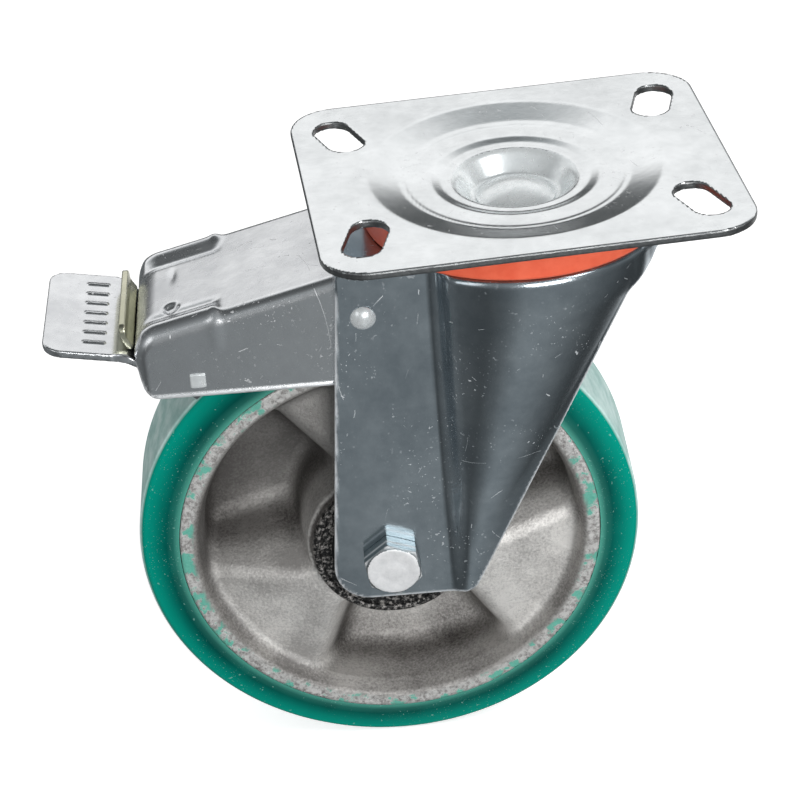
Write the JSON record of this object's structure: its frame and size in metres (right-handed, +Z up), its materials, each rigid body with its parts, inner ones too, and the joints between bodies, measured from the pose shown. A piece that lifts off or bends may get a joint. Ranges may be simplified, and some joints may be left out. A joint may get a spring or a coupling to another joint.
{
  "type": "castor wheel",
  "caption": "Swivel castor with a slotted top plate, pressed steel fork, polyurethane wheel on a cast centre and a foot-operated wheel brake.",
  "frame": {"origin": "centre of the top plate's upper, mounting face", "axes": "+Z up, out of the plate's mounting face; +X along the plate's long side, away from the brake pedal; the wheel hangs towards -Z"},
  "size_m": [0.1652, 0.085, 0.156],
  "materials": {
    "zinc_plate": "bright zinc plate, glossy with fine scratches",
    "yellow_zinc": "yellowish plate, satin",
    "turned_steel": "turned, satin",
    "spring_steel": "dark spring steel, satin",
    "bearing_steel": "ground, bright",
    "cage_steel": "pressed steel",
    "seal_rubber": "matte",
    "orange_seal": "satin moulded",
    "cast_aluminium": "as cast, fine grain",
    "polyurethane": "glossy moulded sides, matte tread"
  },
  "bodies": {
    "plate": {"top_plate": "zinc_plate", "pivot_pin": "zinc_plate", "lower_race": "zinc_plate"},
    "fork": {"fork": "zinc_plate", "seal_ring": "orange_seal", "upper_balls": "bearing_steel", "lower_balls": "bearing_steel", "brake_housing": "zinc_plate", "housing_rivet": "zinc_plate", "rivet_sleeve": "turned_steel", "hinge_pin": "turned_steel", "axle_bolt": "zinc_plate", "axle_nut": "zinc_plate", "nut_washer": "zinc_plate", "axle_tube": "turned_steel", "bearing_spacer": "turned_steel", "near_collar": "turned_steel", "far_collar": "turned_steel", "near_inner_ring": "bearing_steel", "far_inner_ring": "bearing_steel"},
    "wheel": {"wheel_centre": "cast_aluminium", "tyre": "polyurethane", "near_outer_ring": "bearing_steel", "far_outer_ring": "bearing_steel", "near_bearing_balls": "bearing_steel", "far_bearing_balls": "bearing_steel", "near_cage": "cage_steel", "far_cage": "cage_steel", "near_seals": "seal_rubber", "far_seals": "seal_rubber"},
    "pedal": {"brake_pedal": "zinc_plate", "release_lip": "yellow_zinc"},
    "spring": {"brake_spring": "spring_steel"}
  },
  "joints": [
    {"name": "swivel", "type": "hinge", "parent": "plate", "child": "fork", "pos_m": [0, 0, 0], "axis": [0, 0, 1], "continuous": true},
    {"name": "wheel_spin", "type": "hinge", "parent": "fork", "child": "wheel", "pos_m": [-0.03588, 0.00295, -0.0935], "axis": [0.0819, 0.9966, 0], "continuous": true},
    {"name": "brake_press", "type": "hinge", "parent": "fork", "child": "pedal", "pos_m": [-0.07824, 0.00643, -0.0392], "axis": [-0.0819, -0.9966, 0], "range_deg": [0, 30]},
    {"name": "leaf_press", "type": "hinge", "parent": "fork", "child": "spring", "pos_m": [-0.03837, 0.00315, -0.0241], "axis": [-0.0819, -0.9966, 0], "range_deg": [0, 1.56]}
  ],
  "couplings": [
    {"joint": "leaf_press", "follows": "brake_press", "ratio": 0.0517}
  ]
}
